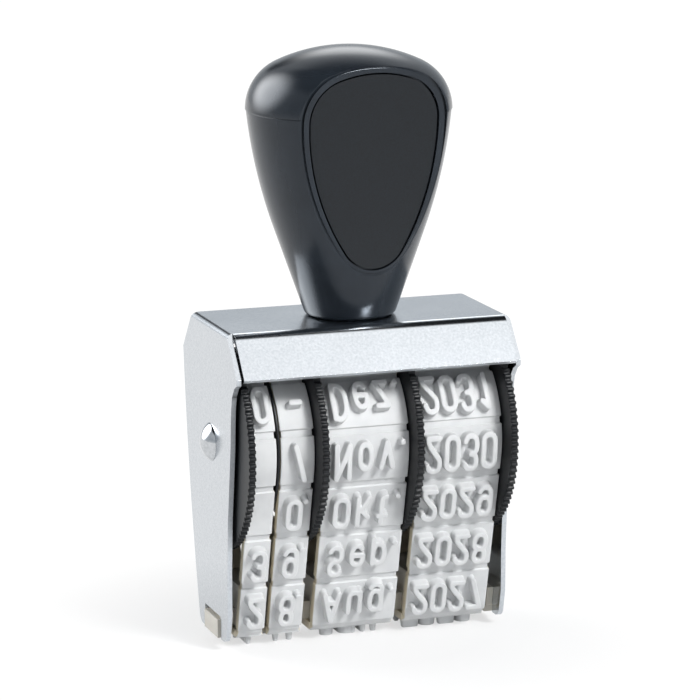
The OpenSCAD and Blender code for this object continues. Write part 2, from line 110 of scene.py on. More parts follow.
camera.matrix_world = Matrix((
    (right.x, above.x, toward.x, eye.x),
    (right.y, above.y, toward.y, eye.y),
    (right.z, above.z, toward.z, eye.z),
    (0, 0, 0, 1),
))
bpy.context.scene.camera = camera
bpy.context.scene.view_settings.view_transform = "Standard"


def linear(code):
    """An sRGB hex colour as linear red, green, blue and alpha."""
    shades = [int(code[place:place + 2], 16) / 255 for place in (1, 3, 5)]
    shades = [s / 12.92 if s <= 0.04045 else ((s + 0.055) / 1.055) ** 2.4 for s in shades]
    return (*shades, 1)


def add_node(tree, kind, inputs=None, **options):
    """A new node with its options, and its inputs set to a value or linked to a socket."""
    node = tree.nodes.new(kind)
    for name, value in options.items():
        setattr(node, name, value)
    for name, value in (inputs or {}).items():
        if isinstance(value, bpy.types.NodeSocket):
            tree.links.new(value, node.inputs[name])
        else:
            node.inputs[name].default_value = value
    return node


def shade_steps(node, steps):
    """Sets a colour ramp to the given places and hex colours."""
    ramp = node.color_ramp
    while len(ramp.elements) < len(steps):
        ramp.elements.new(1)
    for element, (place, code) in zip(ramp.elements, steps):
        element.position = place
        element.color = linear(code)


tent = bpy.data.worlds.new("light_tent")
bpy.context.scene.world = tent
tent.use_nodes = True
tent_tree = tent.node_tree
tent_tree.nodes.clear()
tent_place = add_node(tent_tree, "ShaderNodeTexCoord")
tent_axes = add_node(tent_tree, "ShaderNodeSeparateXYZ", {"Vector": tent_place.outputs["Generated"]})
tent_rise = add_node(tent_tree, "ShaderNodeMapRange", {
    "Value": tent_axes.outputs["Z"], "From Min": -1.0, "From Max": 1.0,
})
tent_wall = add_node(tent_tree, "ShaderNodeValToRGB", {"Fac": tent_rise.outputs["Result"]})
shade_steps(tent_wall, [
    (0.5, "#d9dcdf"), (0.6, "#c0c6cc"), (0.7, "#c4c8cc"), (0.82, "#c8ccd0"), (0.89, "#1c1e20"),
])
slot_x = 0.06
slot_z = 0.36
slot_half_w = 0.15
slot_half_h = 0.1
tent_slot = add_node(tent_tree, "ShaderNodeMapping", {
    "Vector": tent_place.outputs["Generated"],
    "Location": (-slot_x / slot_half_w, 0, -slot_z / slot_half_h),
    "Scale": (1 / slot_half_w, 0, 1 / slot_half_h),
})
tent_reach = add_node(tent_tree, "ShaderNodeVectorMath", {
    0: tent_slot.outputs["Vector"],
}, operation="LENGTH")
tent_dim = add_node(tent_tree, "ShaderNodeMapRange", {
    "Value": tent_reach.outputs["Value"],
    "From Min": 0.7, "From Max": 1.3, "To Min": 0.1, "To Max": 1.0,
}, interpolation_type="SMOOTHSTEP")
tent_front = add_node(tent_tree, "ShaderNodeMath", {
    0: tent_axes.outputs["Y"], 1: 0.0,
}, operation="LESS_THAN")
tent_level = add_node(tent_tree, "ShaderNodeMath", {
    0: tent_dim.outputs["Result"], 1: tent_front.outputs["Value"],
}, operation="MAXIMUM")
tent_light = add_node(tent_tree, "ShaderNodeBackground", {
    "Color": tent_wall.outputs["Color"], "Strength": tent_level.outputs["Value"],
})
tent_paper = add_node(tent_tree, "ShaderNodeBackground", {"Color": (1, 1, 1, 1), "Strength": 1.0})
tent_ray = add_node(tent_tree, "ShaderNodeLightPath")
tent_mix = add_node(tent_tree, "ShaderNodeMixShader", {
    0: tent_ray.outputs["Is Camera Ray"],
    1: tent_light.outputs["Background"],
    2: tent_paper.outputs["Background"],
})
add_node(tent_tree, "ShaderNodeOutputWorld", {"Surface": tent_mix.outputs["Shader"]})


def softbox(name, place, aim, width, height, power):
    """A lamp at a place, turned to face another place, and brightest in the middle of its cloth."""
    lamp = bpy.data.lights.new(name, "AREA")
    lamp.shape = "RECTANGLE"
    lamp.size = width
    lamp.size_y = height
    lamp.energy = power
    lamp.use_nodes = True
    tree = lamp.node_tree
    cloth = add_node(tree, "ShaderNodeNewGeometry")
    reach = add_node(tree, "ShaderNodeVectorMath", {
        0: cloth.outputs["Parametric"], 1: (0.5, 0.5, 0),
    }, operation="DISTANCE")
    fade = add_node(tree, "ShaderNodeMapRange", {
        "Value": reach.outputs["Value"],
        "From Min": 0.15, "From Max": 0.5, "To Min": 1.0, "To Max": 0.0,
    }, interpolation_type="SMOOTHSTEP")
    tree.links.new(fade.outputs["Result"], tree.nodes["Emission"].inputs["Strength"])
    holder = bpy.data.objects.new(name, lamp)
    bpy.context.scene.collection.objects.link(holder)
    holder.location = place
    holder.rotation_euler = (Vector(aim) - Vector(place)).to_track_quat("-Z", "Y").to_euler()


softbox("front_softbox", (0.42, -0.84, 0.82), (0, 0, 0.04), 0.5, 0.5, 42.0)
softbox("top_softbox", (0.3, -0.44, 0.815), (0, 0, 0.045), 0.75, 0.75, 2.3)
softbox("right_softbox", (0.9, -0.35, 0.5), (0, 0, 0.045), 0.5, 0.7, 1.2)
softbox("back_softbox", (0.29, 0.85, 0.5), (0, 0, 0.05), 0.5, 0.45, 1.4)
softbox("left_softbox", (-0.68, 0.66, 0.48), (0, 0, 0.06), 1.35, 1.25, 32.0)

floor_size = 8
shadow_near = 20 * mm
shadow_far = 55 * mm
bpy.ops.object.select_all(action="DESELECT")
bpy.ops.mesh.primitive_plane_add(size=floor_size, location=(0, 0, cad_low.z))
floor = bpy.context.object
floor.name = "paper_floor"
# White paper: a matt ground that keeps a soft shadow near the stamp and runs out to plain white.
paper = bpy.data.materials.new("white studio paper")
paper.use_nodes = True
paper_tree = paper.node_tree
paper_tree.nodes.clear()
paper_matt = add_node(paper_tree, "ShaderNodeBsdfDiffuse", {"Color": linear("#e0e0e0")})
paper_glow = add_node(paper_tree, "ShaderNodeEmission", {"Color": (1, 1, 1, 1), "Strength": 1.04})
paper_ray = add_node(paper_tree, "ShaderNodeLightPath")
paper_seen = add_node(paper_tree, "ShaderNodeMath", {
    0: paper_ray.outputs["Is Camera Ray"], 1: paper_ray.outputs["Is Glossy Ray"],
}, operation="MAXIMUM")
paper_place = add_node(paper_tree, "ShaderNodeTexCoord")
paper_reach = add_node(paper_tree, "ShaderNodeVectorMath", {
    0: paper_place.outputs["Object"],
}, operation="LENGTH")
paper_fade = add_node(paper_tree, "ShaderNodeMapRange", {
    "Value": paper_reach.outputs["Value"],
    "From Min": shadow_near, "From Max": shadow_far, "To Min": 0.58, "To Max": 1.0,
})
paper_share = add_node(paper_tree, "ShaderNodeMath", {
    0: paper_seen.outputs["Value"], 1: paper_fade.outputs["Result"],
}, operation="MULTIPLY")
paper_mix = add_node(paper_tree, "ShaderNodeMixShader", {
    0: paper_share.outputs["Value"],
    1: paper_matt.outputs["BSDF"],
    2: paper_glow.outputs["Emission"],
})
add_node(paper_tree, "ShaderNodeOutputMaterial", {"Surface": paper_mix.outputs["Shader"]})
floor.data.materials.append(paper)
floor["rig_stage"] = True

# Frame: one sheet of steel, blanked and folded down on four sides into a flat top, two leaning skirts
# and two side plates, then nickel plated. The plates carry the axle, and the grip is screwed on top.
# The plates' front edges stand back from the skirt, so that the flank of the first wheel shows.
frame_edge = 0.08
cut_reach = 30
plate_front = (
    (-13.5, 40.35), (-12.1, 39.6), (-11.0, 38.2), (-10.5, 36.4), (-10.2, 34.0), (-10.0, 31.0),
    (-9.4, 27.0), (-8.2, 19.6), (-7.6, 12.0), (-7.45, 3.0), (-13.5, 3.0),
)


def pick(piece):
    """Makes a piece the only selected and the active object."""
    bpy.ops.object.select_all(action="DESELECT")
    piece.select_set(True)
    bpy.context.view_layer.objects.active = piece


def apply_modifier(piece, kind, **options):
    """Gives a piece a modifier with its options and applies it."""
    pick(piece)
    bpy.ops.object.modifier_add(type=kind)
    modifier = piece.modifiers[-1]
    for name, value in options.items():
        setattr(modifier, name, value)
    bpy.ops.object.modifier_apply(modifier=modifier.name)


def round_edges(piece, width, limit=35):
    """Rounds the edges of a piece sharper than a limit in degrees, by a width in millimetres.

    The flats stay flat.
    """
    apply_modifier(
        piece, "BEVEL",
        width=width * mm, segments=2, limit_method="ANGLE", angle_limit=math.radians(limit),
    )
    bpy.ops.object.shade_smooth_by_angle(angle=math.radians(50))
    apply_modifier(piece, "WEIGHTED_NORMAL", keep_sharp=True)


def face_outward(piece, weld=0):
    """Welds corners nearer than a distance in millimetres and turns every face outward."""
    pick(piece)
    bpy.ops.object.mode_set(mode="EDIT")
    bpy.ops.mesh.select_all(action="SELECT")
    if weld:
        bpy.ops.mesh.remove_doubles(threshold=weld * mm)
    bpy.ops.mesh.normals_make_consistent(inside=False)
    bpy.ops.object.mode_set(mode="OBJECT")


def from_solid(node):
    """A copy of a solid with its loose faces merged and its flats joined up, to be finished."""
    name = node + "_finished"
    piece = bpy.data.objects.new(name, frame["nodes"][node].data.copy())
    piece.data.name = name
    bpy.context.scene.collection.objects.link(piece)
    pick(piece)
    bpy.ops.object.mode_set(mode="EDIT")
    bpy.ops.mesh.select_all(action="SELECT")
    bpy.ops.mesh.remove_doubles(threshold=0.001 * mm)
    bpy.ops.mesh.dissolve_limited(angle_limit=math.radians(0.4))
    bpy.ops.object.mode_set(mode="OBJECT")
    return piece


def prism(name, outline, low_x, high_x):
    """A block with an outline in depth and height, drawn out from side to side, to cut with."""
    count = len(outline)
    corners = [Vector((x, y, z)) * mm for x in (low_x, high_x) for y, z in outline]
    faces = [tuple(range(count)), tuple(range(count, 2 * count))]
    for step in range(count):
        after = (step + 1) % count
        faces.append((step, after, count + after, count + step))
    mesh = bpy.data.meshes.new(name)
    mesh.from_pydata(corners, [], faces)
    block = bpy.data.objects.new(name, mesh)
    bpy.context.scene.collection.objects.link(block)
    face_outward(block)
    return block


def carve(piece, cutter):
    """Cuts the shape of a block out of a piece."""
    apply_modifier(piece, "BOOLEAN", object=cutter, operation="DIFFERENCE", solver="EXACT")


def stand_for(piece, node, material):
    """Gives a piece its material and lets it stand for a solid on the same body."""
    piece.data.materials.clear()
    piece.data.materials.append(material)
    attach(piece, frame["nodes"][node]["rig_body"])
    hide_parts(node)


def new_material(name):
    """A material with its node tree and its surface shader."""
    material = bpy.data.materials.new(name)
    material.use_nodes = True
    tree = material.node_tree
    return material, tree, tree.nodes["Principled BSDF"]


# Nickel on rolled steel: a bright cool metal, nearly a mirror, with a fine satin grain from the rolls.
# The sheared edges at the foot of the skirts and plates are duller than the rolled faces.
nickel, nickel_tree, nickel_skin = new_material("nickel plated sheet steel")
nickel_skin.inputs["Metallic"].default_value = 1.0
nickel_place = add_node(nickel_tree, "ShaderNodeTexCoord")
nickel_grain = add_node(nickel_tree, "ShaderNodeTexNoise", {
    "Vector": nickel_place.outputs["Object"], "Scale": 1 / (0.35 * mm), "Detail": 3.0,
})
nickel_clouds = add_node(nickel_tree, "ShaderNodeTexNoise", {
    "Vector": nickel_place.outputs["Object"], "Scale": 1 / (9 * mm), "Detail": 2.0,
})
nickel_tint = add_node(nickel_tree, "ShaderNodeValToRGB", {"Fac": nickel_grain.outputs["Fac"]})
shade_steps(nickel_tint, [(0.3, "#bfc4c9"), (0.7, "#ced2d6")])
nickel_tree.links.new(nickel_tint.outputs["Color"], nickel_skin.inputs["Base Color"])
nickel_rough = add_node(nickel_tree, "ShaderNodeMapRange", {
    "Value": nickel_clouds.outputs["Fac"], "To Min": 0.12, "To Max": 0.2,
})
nickel_facing = add_node(nickel_tree, "ShaderNodeSeparateXYZ", {
    "Vector": nickel_place.outputs["Normal"],
})
nickel_shear = add_node(nickel_tree, "ShaderNodeMapRange", {
    "Value": nickel_facing.outputs["Z"],
    "From Min": -0.3, "From Max": -0.6, "To Min": 0.0, "To Max": 0.5,
})
nickel_front = add_node(nickel_tree, "ShaderNodeMapRange", {
    "Value": nickel_facing.outputs["Y"],
    "From Min": -0.86, "From Max": -0.94, "To Min": 0.0, "To Max": 0.6,
})
nickel_edges = add_node(nickel_tree, "ShaderNodeMath", {
    0: nickel_shear.outputs["Result"], 1: nickel_front.outputs["Result"],
}, operation="MAXIMUM")
nickel_dull = add_node(nickel_tree, "ShaderNodeMath", {
    0: nickel_rough.outputs["Result"], 1: nickel_edges.outputs["Value"],
}, operation="MAXIMUM")
nickel_tree.links.new(nickel_dull.outputs["Value"], nickel_skin.inputs["Roughness"])
nickel_bump = add_node(nickel_tree, "ShaderNodeBump", {
    "Height": nickel_grain.outputs["Fac"], "Strength": 0.2, "Distance": 0.02 * mm,
})
nickel_tree.links.new(nickel_bump.outputs["Normal"], nickel_skin.inputs["Normal"])

sheet = from_solid("frame")
front_room = prism("front_room", plate_front, -cut_reach, cut_reach)
carve(sheet, front_room)
bpy.data.objects.remove(front_room)
round_edges(sheet, frame_edge)
stand_for(sheet, "frame", nickel)

# Axle: a bright drawn steel rod through the side plates and all four drums. Its ends are set over to
# domed rivet heads, and thin pressed washers keep the wheels from rubbing on one another.
bright_steel, bright_tree, bright_skin = new_material("bright drawn steel")
# A drawn rod is smoother than the sheet: sharp dark and light reflections with faint scratches.
bright_skin.inputs["Metallic"].default_value = 1.0
bright_place = add_node(bright_tree, "ShaderNodeTexCoord")
bright_scratch = add_node(bright_tree, "ShaderNodeTexNoise", {
    "Vector": bright_place.outputs["Object"], "Scale": 1 / (0.5 * mm), "Detail": 4.0,
})
bright_tint = add_node(bright_tree, "ShaderNodeValToRGB", {"Fac": bright_scratch.outputs["Fac"]})
shade_steps(bright_tint, [(0.3, "#b9bcbf"), (0.7, "#cdd0d3")])
bright_tree.links.new(bright_tint.outputs["Color"], bright_skin.inputs["Base Color"])
bright_rough = add_node(bright_tree, "ShaderNodeMapRange", {
    "Value": bright_scratch.outputs["Fac"], "To Min": 0.05, "To Max": 0.1,
})
bright_tree.links.new(bright_rough.outputs["Result"], bright_skin.inputs["Roughness"])

rod_edge = 0.06
for node in (
    "axle", "left_thrust_washer", "units_month_washer", "month_year_washer", "right_thrust_washer",
):
    piece = from_solid(node)
    round_edges(piece, rod_edge)
    stand_for(piece, node, bright_steel)

# Setting wheels: black moulded drums, each with a knurled rim that the thumb turns. The thin separator
# disc between the two figure bands is moulded of the same plastic.
black_plastic, black_tree, black_skin = new_material("black moulded polyamide")
# Moulded polyamide: a soft dark sheen with a very fine eroded texture from the mould.
black_place = add_node(black_tree, "ShaderNodeTexCoord")
black_texture = add_node(black_tree, "ShaderNodeTexNoise", {
    "Vector": black_place.outputs["Object"], "Scale": 1 / (0.25 * mm), "Detail": 2.0,
})
black_tint = add_node(black_tree, "ShaderNodeValToRGB", {"Fac": black_texture.outputs["Fac"]})
shade_steps(black_tint, [(0.3, "#0c0e10"), (0.7, "#13161a")])
black_tree.links.new(black_tint.outputs["Color"], black_skin.inputs["Base Color"])
black_skin.inputs["Specular IOR Level"].default_value = 0.32
black_rough = add_node(black_tree, "ShaderNodeMapRange", {
    "Value": black_texture.outputs["Fac"], "To Min": 0.36, "To Max": 0.48,
})
black_tree.links.new(black_rough.outputs["Result"], black_skin.inputs["Roughness"])
black_bump = add_node(black_tree, "ShaderNodeBump", {
    "Height": black_texture.outputs["Fac"], "Strength": 0.15, "Distance": 0.02 * mm,
})
black_tree.links.new(black_bump.outputs["Normal"], black_skin.inputs["Normal"])

wheel_edge = 0.06
for node in ("tens_wheel", "units_wheel", "month_wheel", "year_wheel", "separator_disc"):
    piece = from_solid(node)
    round_edges(piece, wheel_edge, limit=40)
    stand_for(piece, node, black_plastic)

# Type bands: endless bands of moulded rubber, stretched round a drum and the platen. Each place is a
# tile between two grooves, with the figures raised on it, flipped so that they print the right way.
axle_low, axle_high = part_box("axle")
axle_z = (axle_low.z + axle_high.z) / 2 / mm
band_r = 11.9
band_t = 1.2
band_corner_r = 1.4
platen_flat = 3.6
type_h = 1.3
band_places = 13
groove_w = 0.9
groove_floor = 0.85 * groove_w / 2
groove_brink = 1.25 * groove_w / 2
groove_depth = 0.25
edge_notch = 0.2
band_edge = 0.18
tile_rows = 12
corner_rows = 8
least_row = 0.04
band_low = type_h + band_corner_r
corner_out = Vector((platen_flat, band_low - axle_z))
run_normal = math.atan2(corner_out.y, corner_out.x)
run_normal += math.acos((band_r - band_corner_r) / corner_out.length)
run_length = math.sqrt(corner_out.length_squared - (band_r - band_corner_r) ** 2)
drum_mid_r = band_r - band_t / 2
corner_mid_r = band_corner_r - band_t / 2
corner_length = corner_mid_r * (run_normal + math.pi / 2)
half_loop = platen_flat + corner_length + run_length + drum_mid_r * (math.pi / 2 - run_normal)
place_pitch = 2 * half_loop / band_places


def on_band(x, along, height):
    """A point on the band, in metres: across it, along it from the platen's middle, and above it."""
    along = (along + half_loop) % (2 * half_loop) - half_loop
    side = 1 if along >= 0 else -1
    rest = abs(along)
    corner = Vector((platen_flat, band_low))
    if rest <= platen_flat:
        point = Vector((rest, type_h - height))
    elif rest <= platen_flat + corner_length:
        angle = (rest - platen_flat) / corner_mid_r - math.pi / 2
        point = corner + (band_corner_r + height) * Vector((math.cos(angle), math.sin(angle)))
    elif rest <= platen_flat + corner_length + run_length:
        normal = Vector((math.cos(run_normal), math.sin(run_normal)))
        run = Vector((-normal.y, normal.x))
        step = rest - platen_flat - corner_length
        point = corner + (band_corner_r + height) * normal + step * run
    else:
        angle = run_normal + (rest - platen_flat - corner_length - run_length) / drum_mid_r
        point = Vector((0, axle_z)) + (band_r + height) * Vector((math.cos(angle), math.sin(angle)))
    return Vector((x, -side * point.x, point.y)) * mm


def laid_grid(name, columns, rows, place, core_columns=()):
    """A grid whose corners are laid at place(column, row), with its seams and poles closed.

    Corners in the core columns are marked, so that a material can tell an inner layer from the skin.
    """
    bpy.ops.object.select_all(action="DESELECT")
    bpy.ops.mesh.primitive_grid_add(x_subdivisions=columns, y_subdivisions=rows, size=1)
    piece = bpy.context.object
    piece.name = name
    piece.data.name = name
    core = piece.data.attributes.new("core", "FLOAT", "POINT")
    for corner in piece.data.vertices:
        column = round((corner.co.x + 0.5) * columns)
        core.data[corner.index].value = 1 if column % columns in core_columns else 0
        corner.co = place(column, round((corner.co.y + 0.5) * rows))
    face_outward(piece, weld=0.005)
    return piece


def band_rows(creep):
    """Places along the band for its rows: the edges of the grooves, the bends, and even steps."""
    rows = []
    for place in range(band_places):
        groove = (place + 0.5) * place_pitch + creep
        edges = (-groove_brink, -groove_floor, 0, groove_floor, groove_brink)
        rows += [groove + edge for edge in edges]
        rows += [groove + place_pitch * step / tile_rows for step in range(2, tile_rows - 1)]
    for bend in (-1, 1):
        rows += [
            bend * (platen_flat + corner_length * step / corner_rows)
            for step in range(corner_rows + 1)
        ]
    rows = sorted((row + half_loop) % (2 * half_loop) - half_loop for row in rows)
    kept = [rows[0]]
    for row in rows[1:]:
        if row - kept[-1] > least_row:
            kept.append(row)
    return kept


def groove_share(along):
    """How much of the groove's depth the band has at a place: 1 in a groove and 0 on a tile."""
    offset = abs(along % place_pitch - place_pitch / 2)
    return min(1, max(0, (groove_brink - offset) / (groove_brink - groove_floor)))


def band_strip(name, low_x, high_x, creep):
    """The plain band with its grooves and the small notches at their ends."""
    rows = band_rows(creep)
    middle = (low_x + high_x) / 2
    half = (high_x - low_x) / 2
    soft = 0.3 * band_edge
    outline = [(-1, 0, -band_t), (-1, 0, -band_edge), (-1, soft, -soft), (-1, band_edge, 0)]
    outline += [(-1, 2 * band_edge, 0), (0, 0, 0), (1, 2 * band_edge, 0)]
    outline += [(1, band_edge, 0), (1, soft, -soft), (1, 0, -band_edge), (1, 0, -band_t)]
    outline += [(0, 0, -band_t)]
    core_columns = (0, 1, 9, 10, 11)

    def place(column, row):
        end, inset, height = outline[column % len(outline)]
        along = rows[row % len(rows)]
        share = groove_share(along - creep)
        x = middle + end * (half - inset - share * edge_notch)
        if height > -band_t:
            height -= share * groove_depth
        return on_band(x, along, height)

    return laid_grid(name, len(outline), len(rows), place, core_columns)


# The figures are drawn as the middle lines of their strokes, in millimetres from the baseline.
cap_line = 4.3
small_line = 3.1
tail_line = -1.0
stroke_ridge = (
    (0.6, -0.25), (0.6, -0.04), (0.51, 0.08), (0.46, 0.3),
    (0.42, 0.8), (0.38, 1.18), (0.34, 1.27), (0.26, 1.3),
)
figure_voxel = 0.07
figure_thinned = 0.2
figure_root = -0.12


def oval(x, y, half_w, half_h, start, end):
    """Points on a squarish oval from one angle to another, in degrees."""
    count = max(4, round(abs(end - start) / 15))
    points = []
    for step in range(count + 1):
        angle = math.radians(start + (end - start) * step / count)
        side, rise = math.cos(angle), math.sin(angle)
        points.append((
            x + half_w * math.copysign(abs(side) ** 0.84, side),
            y + half_h * math.copysign(abs(rise) ** 0.84, rise),
        ))
    return points


def stadium(width, low, high):
    """A closed upright oval with straight sides and round ends."""
    r = width / 2
    over = [math.radians(angle) for angle in range(0, 181, 20)]
    under = [math.radians(angle) for angle in range(180, 361, 20)]
    points = [(r + r * math.cos(angle), high - r + r * math.sin(angle)) for angle in over]
    points += [(r + r * math.cos(angle), low + r + r * math.sin(angle)) for angle in under]
    return points + points[:1]


letter_w = 1.7
half_w = letter_w / 2
figure_w = 1.75
half_f = figure_w / 2
figures = {
    "0": (figure_w, [stadium(figure_w, 0, cap_line)]),
    "1": (figure_w, [[(0.25, 3.55), (1.05, cap_line), (1.05, 0)]]),
    "2": (figure_w, [
        oval(half_f, 3.35, half_f, 1.1, 170, -30)
        + [(1.25, 2.25), (0.65, 1.5), (0.25, 0.95), (0.05, 0.45), (0, 0), (figure_w, 0)],
    ]),
    "3": (figure_w, [
        oval(half_f, 3.38, half_f - 0.05, 1.07, 160, -90),
        oval(half_f, 1.16, half_f, 1.16, 90, -160),
    ]),
    "4": (figure_w, [[(0.95, cap_line), (0, 1.15), (figure_w, 1.15)], [(1.15, 2.2), (1.15, 0)]]),
    "5": (figure_w, [
        [(1.5, cap_line), (0.2, cap_line), (0.1, 2.45)] + oval(half_f, 1.4, half_f, 1.4, 115, -155),
    ]),
    "6": (figure_w, [
        oval(half_f, 1.35, half_f, 1.35, 0, 360),
        [(0, 1.35)] + oval(half_f, 3.1, half_f, 1.2, 180, 25),
    ]),
    "7": (figure_w, [[(0, cap_line), (figure_w, cap_line), (0.5, 0)]]),
    "8": (figure_w, [
        oval(half_f, 3.4, half_f - 0.1, 1.05, 0, 360),
        oval(half_f, 1.18, half_f, 1.18, 0, 360),
    ]),
    "9": (figure_w, [
        oval(half_f, 2.95, half_f, 1.35, 0, 360),
        [(figure_w, 2.95)] + oval(half_f, 1.2, half_f, 1.2, 0, -155),
    ]),
    ".": (0.1, [[(0, 0.05), (0.1, 0.05)]]),
    "-": (1.3, [[(0, 2.2), (1.3, 2.2)]]),
    "/": (1.3, [[(0, 0), (1.3, cap_line)]]),
    "A": (2.1, [[(0, 0), (1.05, cap_line), (2.1, 0)], [(0.35, 1.35), (1.75, 1.35)]]),
    "D": (1.85, [
        [(0, 0), (0, cap_line), (0.5, cap_line)] + oval(0.5, 2.225, 1.35, 2.225, 90, -90) + [(0, 0)],
    ]),
    "F": (1.5, [[(0, 0), (0, cap_line), (1.5, cap_line)], [(0, 2.4), (1.25, 2.4)]]),
    "J": (1.35, [[(1.35, cap_line), (1.35, 1.0)] + oval(0.65, 0.9, 0.7, 0.9, 0, -150)]),
    "M": (2.2, [[(0, 0), (0, cap_line), (1.1, 1.6), (2.2, cap_line), (2.2, 0)]]),
    "N": (1.9, [[(0, 0), (0, cap_line), (1.9, 0), (1.9, cap_line)]]),
    "O": (1.9, [stadium(1.9, 0, cap_line)]),
    "S": (1.75, [
        oval(0.875, 3.36, 0.82, 1.09, 25, 265) + oval(0.875, 1.14, 0.875, 1.14, 85, -155),
    ]),
    "a": (letter_w, [
        oval(half_w, 2.25, half_w, 0.9, 155, 0) + [(letter_w, 0)],
        oval(half_w, 0.92, half_w, 0.92, 0, 360),
    ]),
    "b": (letter_w, [
        [(0, 0), (0, cap_line)],
        oval(half_w, small_line / 2, half_w, small_line / 2, 0, 360),
    ]),
    "e": (letter_w, [
        [(0, 1.55), (letter_w, 1.55)] + oval(half_w, small_line / 2, half_w, small_line / 2, 5, 320),
    ]),
    "g": (letter_w, [
        oval(half_w, small_line / 2, half_w, small_line / 2, 0, 360),
        [(letter_w, small_line), (letter_w, -0.3)] + oval(half_w, -0.2, half_w, 0.85, -10, -155),
    ]),
    "i": (0.1, [[(0.05, 0), (0.05, small_line)], [(0.05, 4.3), (0.06, 4.35)]]),
    "k": (1.6, [[(0, 0), (0, cap_line)], [(1.5, small_line), (0, 1.3)], [(0.55, 1.9), (1.6, 0)]]),
    "l": (0.1, [[(0.05, 0), (0.05, cap_line)]]),
    "n": (letter_w, [
        [(0, 0), (0, small_line)],
        oval(half_w, 2.2, half_w, 0.95, 180, 0) + [(letter_w, 0)],
    ]),
    "o": (letter_w, [oval(half_w, small_line / 2, half_w, small_line / 2, 0, 360)]),
    "p": (letter_w, [
        [(0, small_line), (0, tail_line)],
        oval(half_w, small_line / 2, half_w, small_line / 2, 0, 360),
    ]),
    "r": (1.1, [[(0, 0), (0, small_line)], oval(0.8, 2.2, 0.8, 0.95, 180, 70)]),
    "t": (1.2, [
        [(0.4, 4.1), (0.4, 0.8)] + oval(1.1, 0.7, 0.7, 0.7, 180, 265),
        [(0, small_line), (1.15, small_line)],
    ]),
    "u": (letter_w, [
        [(0, small_line)] + oval(half_w, 0.95, half_w, 0.95, 180, 360),
        [(letter_w, small_line), (letter_w, 0)],
    ]),
    "v": (letter_w, [[(0, small_line), (half_w, 0), (letter_w, small_line)]]),
    "z": (1.55, [[(0, small_line), (1.55, small_line), (0, 0), (1.55, 0)]]),
}


def stroke_piece(first, last, corners, faces):
    """Adds one straight run of a stroke: a ridge with sloping sides and round ends."""
    run = Vector(last) - Vector(first)
    turn = math.atan2(run.y, run.x)
    fan = [turn + math.pi / 2 + math.pi * step / 6 for step in range(7)]
    ring = [(first, angle) for angle in fan] + [(last, angle + math.pi) for angle in fan]
    start = len(corners)
    count = len(ring)
    for half, height in stroke_ridge:
        for end, angle in ring:
            corners.append((end[0] + half * math.cos(angle), end[1] + half * math.sin(angle), height))
    for level in range(len(stroke_ridge) - 1):
        base = start + level * count
        for step in range(count):
            after = (step + 1) % count
            faces.append((base + step, base + after, base + count + after, base + count + step))
    faces.append(tuple(range(start + count - 1, start - 1, -1)))
    top = start + (len(stroke_ridge) - 1) * count
    faces.append(tuple(range(top, top + count)))


def raised_figure(sign):
    """One raised figure in millimetres: its strokes grown together into a single skin."""
    corners, faces = [], []
    for stroke in figures[sign][1]:
        for first, last in zip(stroke, stroke[1:]):
            stroke_piece(first, last, corners, faces)
    mesh = bpy.data.meshes.new("figure")
    mesh.from_pydata(corners, [], faces)
    piece = bpy.data.objects.new("figure", mesh)
    bpy.context.scene.collection.objects.link(piece)
    apply_modifier(piece, "REMESH", mode="VOXEL", voxel_size=figure_voxel)
    apply_modifier(piece, "SMOOTH", factor=0.5, iterations=3)
    apply_modifier(piece, "DECIMATE", ratio=figure_thinned)
    bpy.ops.object.mode_set(mode="EDIT")
    bpy.ops.mesh.select_all(action="SELECT")
    bpy.ops.mesh.bisect(
        plane_co=(0, 0, figure_root), plane_no=(0, 0, 1), use_fill=True, clear_inner=True,
    )
    bpy.ops.object.mode_set(mode="OBJECT")
    bpy.ops.object.shade_smooth()
    return piece


made_figures = {}


def set_type(strip, words, gap, middle, creep):
    """Sets a word on each place of a band, from the printing place up the front and round the back."""
    pieces = []
    for place, word in enumerate(words):
        if not word:
            continue
        total = sum(figures[sign][0] for sign in word) + gap * (len(word) - 1)
        start = middle - total / 2
        for sign in word:
            if sign not in made_figures:
                made_figures[sign] = raised_figure(sign)
            copy = bpy.data.objects.new("figure", made_figures[sign].data.copy())
            bpy.context.scene.collection.objects.link(copy)
            for corner in copy.data.vertices:
                along = place * place_pitch + creep - (corner.co.y - cap_line / 2)
                corner.co = on_band(start + corner.co.x, along, corner.co.z)
            start += figures[sign][0] + gap
            pieces.append(copy)
    pick(strip)
    for piece in pieces:
        piece.select_set(True)
    bpy.ops.object.join()
    face_outward(strip)


# Moulded rubber: a pale grey, matt, with a faint bloom and fine pits left by the mould. The core that
# shows at the sides of a band is creamier than its skin.
rubber, rubber_tree, rubber_skin = new_material("pale grey moulded rubber")
rubber_place = add_node(rubber_tree, "ShaderNodeTexCoord")
rubber_bloom = add_node(rubber_tree, "ShaderNodeTexNoise", {
    "Vector": rubber_place.outputs["Object"], "Scale": 1 / (2.5 * mm), "Detail": 3.0,
})
rubber_pits = add_node(rubber_tree, "ShaderNodeTexNoise", {
    "Vector": rubber_place.outputs["Object"], "Scale": 1 / (0.2 * mm), "Detail": 2.0,
})
rubber_tint = add_node(rubber_tree, "ShaderNodeValToRGB", {"Fac": rubber_bloom.outputs["Fac"]})
shade_steps(rubber_tint, [(0.3, "#c1c2c3"), (0.7, "#cacbcb")])
rubber_core = add_node(rubber_tree, "ShaderNodeAttribute", attribute_name="core")
rubber_layers = add_node(rubber_tree, "ShaderNodeMix", {
    "Factor": rubber_core.outputs["Fac"], "A": rubber_tint.outputs["Color"], "B": linear("#c2b9a4"),
}, data_type="RGBA")
rubber_tree.links.new(rubber_layers.outputs["Result"], rubber_skin.inputs["Base Color"])
